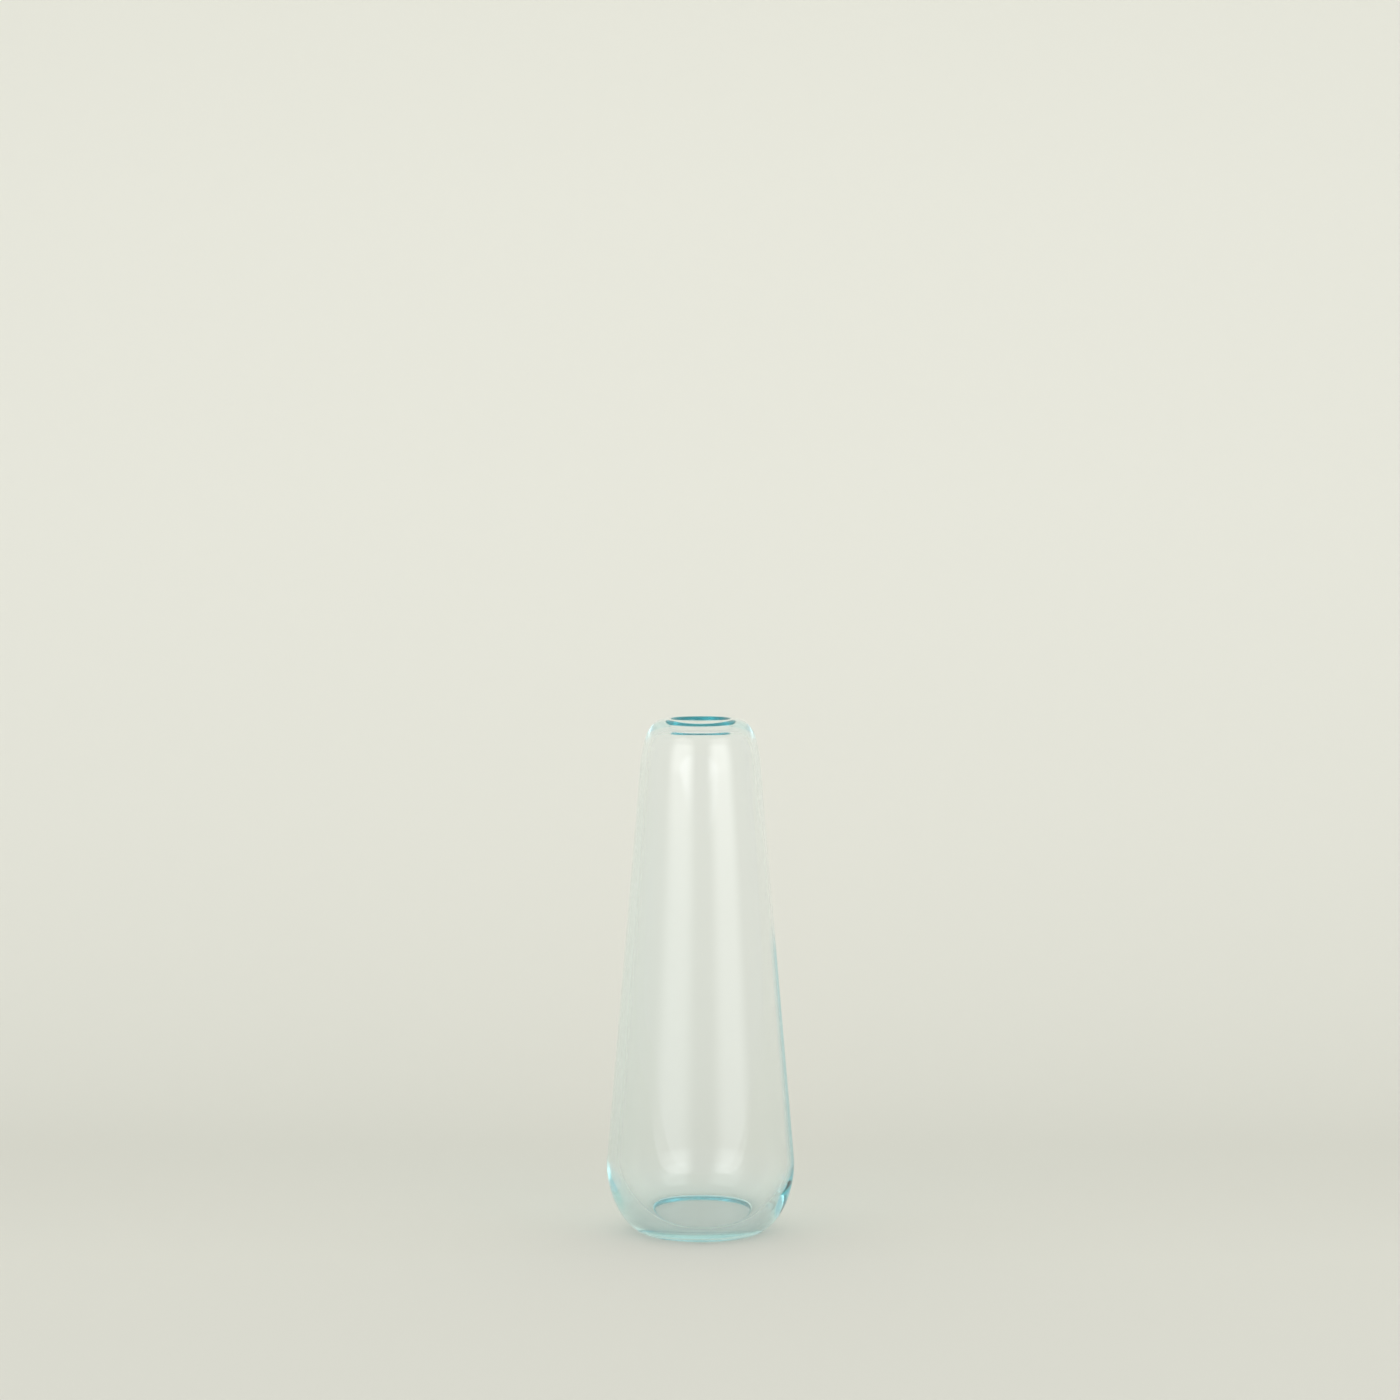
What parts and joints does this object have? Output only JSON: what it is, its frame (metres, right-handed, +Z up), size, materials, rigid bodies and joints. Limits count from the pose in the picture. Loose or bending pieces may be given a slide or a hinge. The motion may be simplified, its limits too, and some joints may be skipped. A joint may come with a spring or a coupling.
{
  "type": "glass bud vase",
  "caption": "Tall one-piece clear glass bud vase with a tapering body, round shoulder, small rounded mouth and a hollow under its thick foot.",
  "frame": {"origin": "on the vase's axis, in the plane of the ring it stands on", "axes": "+Z up the vase's axis towards the mouth; the vase is round, so +X and +Y are any two level directions"},
  "size_m": [0.073, 0.073, 0.2],
  "materials": {
    "clear_glass": "clear and smooth, faint blue-green where the glass is thick, fire-polished lip"
  },
  "bodies": {
    "root": {"vase_glass": "clear_glass"}
  },
  "joints": []
}
